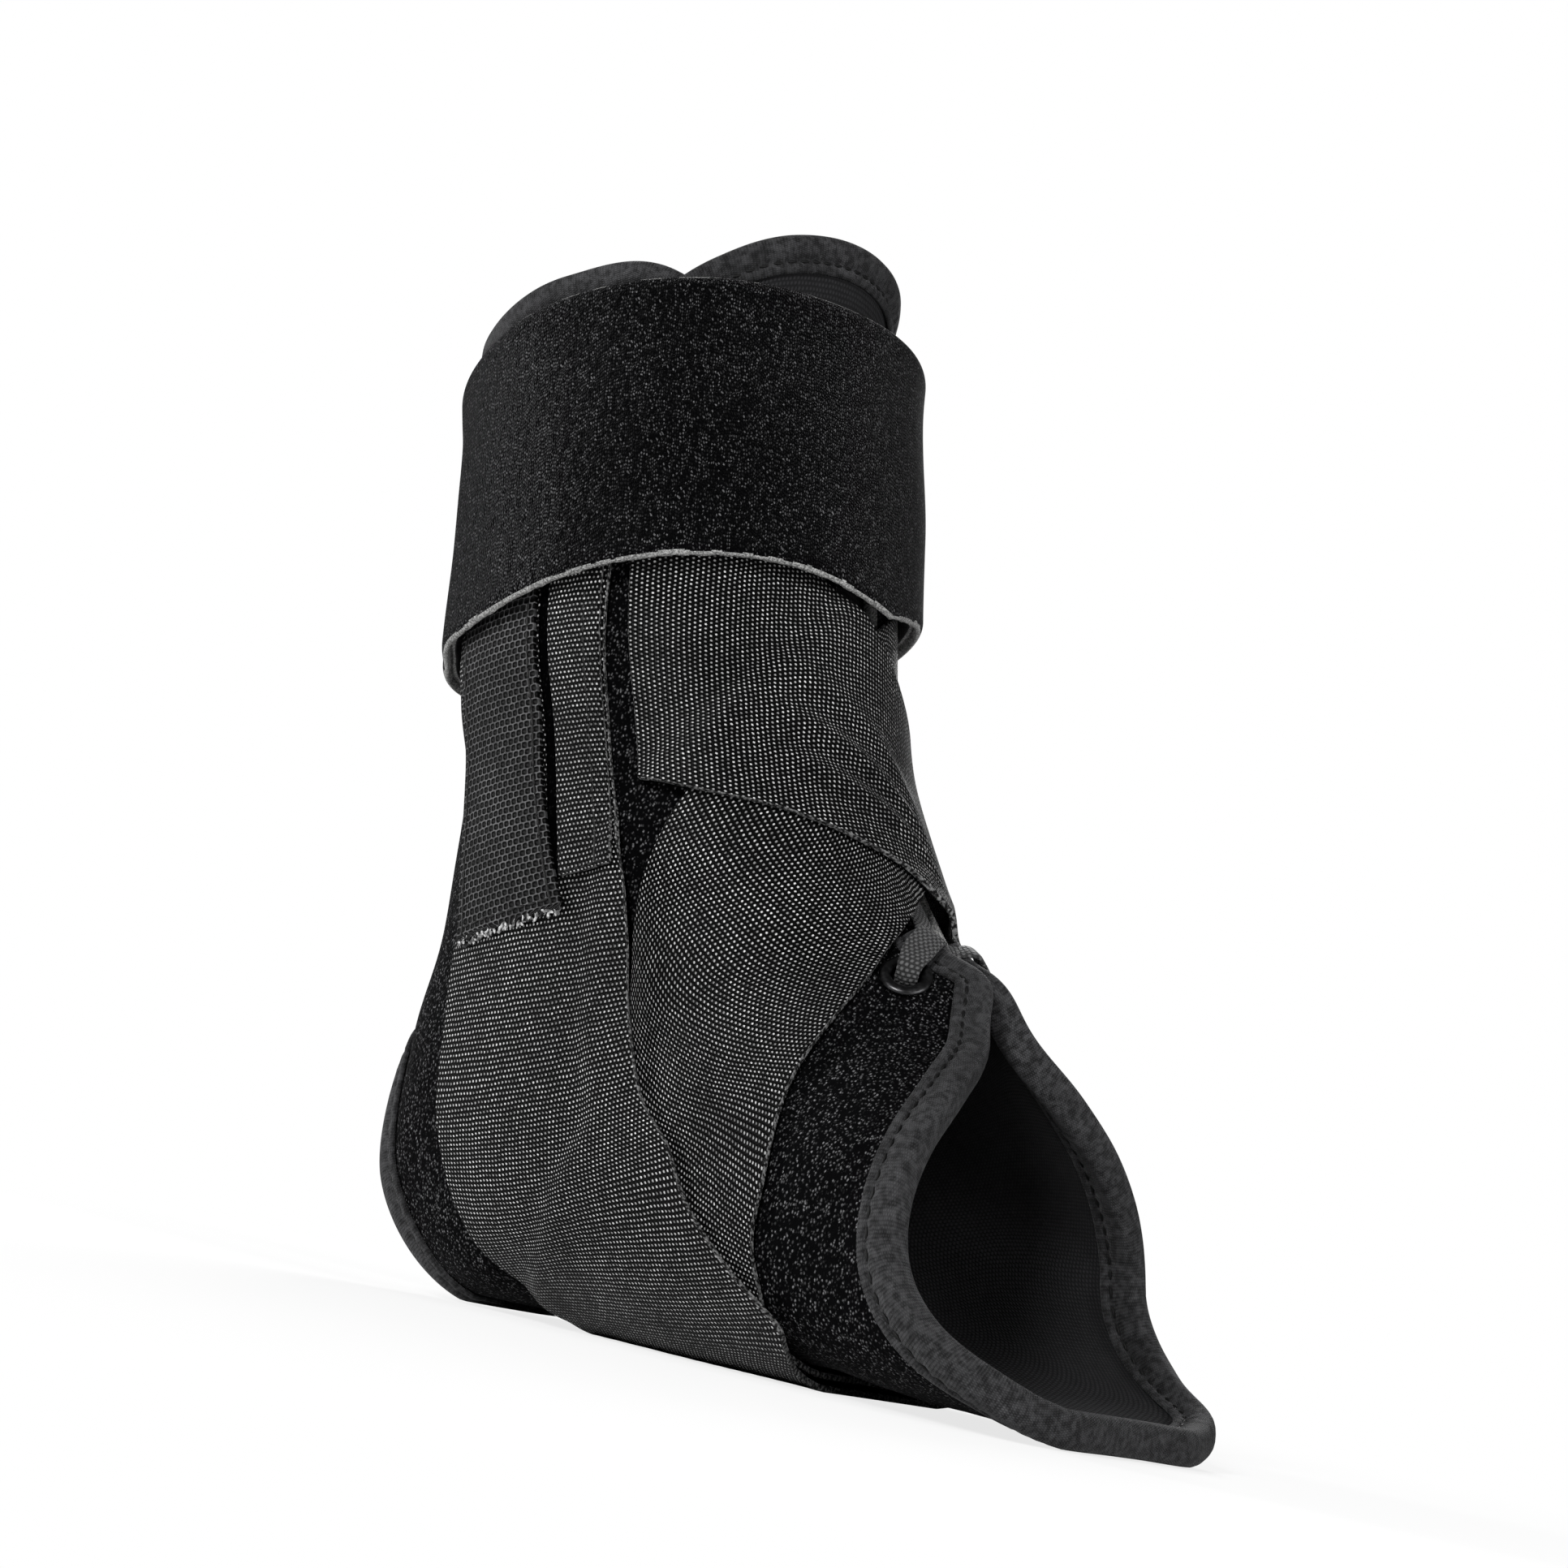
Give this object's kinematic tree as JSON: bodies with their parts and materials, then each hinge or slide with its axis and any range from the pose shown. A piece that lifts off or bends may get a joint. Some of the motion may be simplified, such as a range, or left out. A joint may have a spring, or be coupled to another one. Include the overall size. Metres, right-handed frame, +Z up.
{
  "type": "ankle brace",
  "caption": "Lace-up ankle brace: open-toe, open-heel boot with tongue, crossed webbing straps under the arch and a wrap cuff round the shin.",
  "frame": {"origin": "on the floor, below the middle of the brace's bounding box", "axes": "+X towards the toes, +Z up along the shin, +Y to the wearer's left"},
  "size_m": [0.2068, 0.1038, 0.2385],
  "materials": {
    "loop_fabric": "brushed loop knit, black",
    "binding_tape": "smooth folded knit tape, charcoal",
    "padded_knit": "padded matte knit, black",
    "webbing": "woven synthetic webbing with sheen, black",
    "hook_tape": "hook tape with an open lattice, black",
    "lace": "flat braided cord, charcoal",
    "eyelet_metal": "satin black"
  },
  "bodies": {
    "root": {"shell_right": "loop_fabric", "shell_left": "loop_fabric", "top_binding": "binding_tape", "front_binding": "binding_tape", "heel_binding": "binding_tape", "tongue": "padded_knit", "tongue_binding": "binding_tape", "cuff": "loop_fabric", "strap_right": "webbing", "hook_tape_right": "hook_tape", "lace_right": "lace", "eyelet_right": "eyelet_metal", "strap_left": "webbing", "hook_tape_left": "hook_tape", "lace_left": "lace", "eyelet_left": "eyelet_metal"}
  },
  "joints": []
}
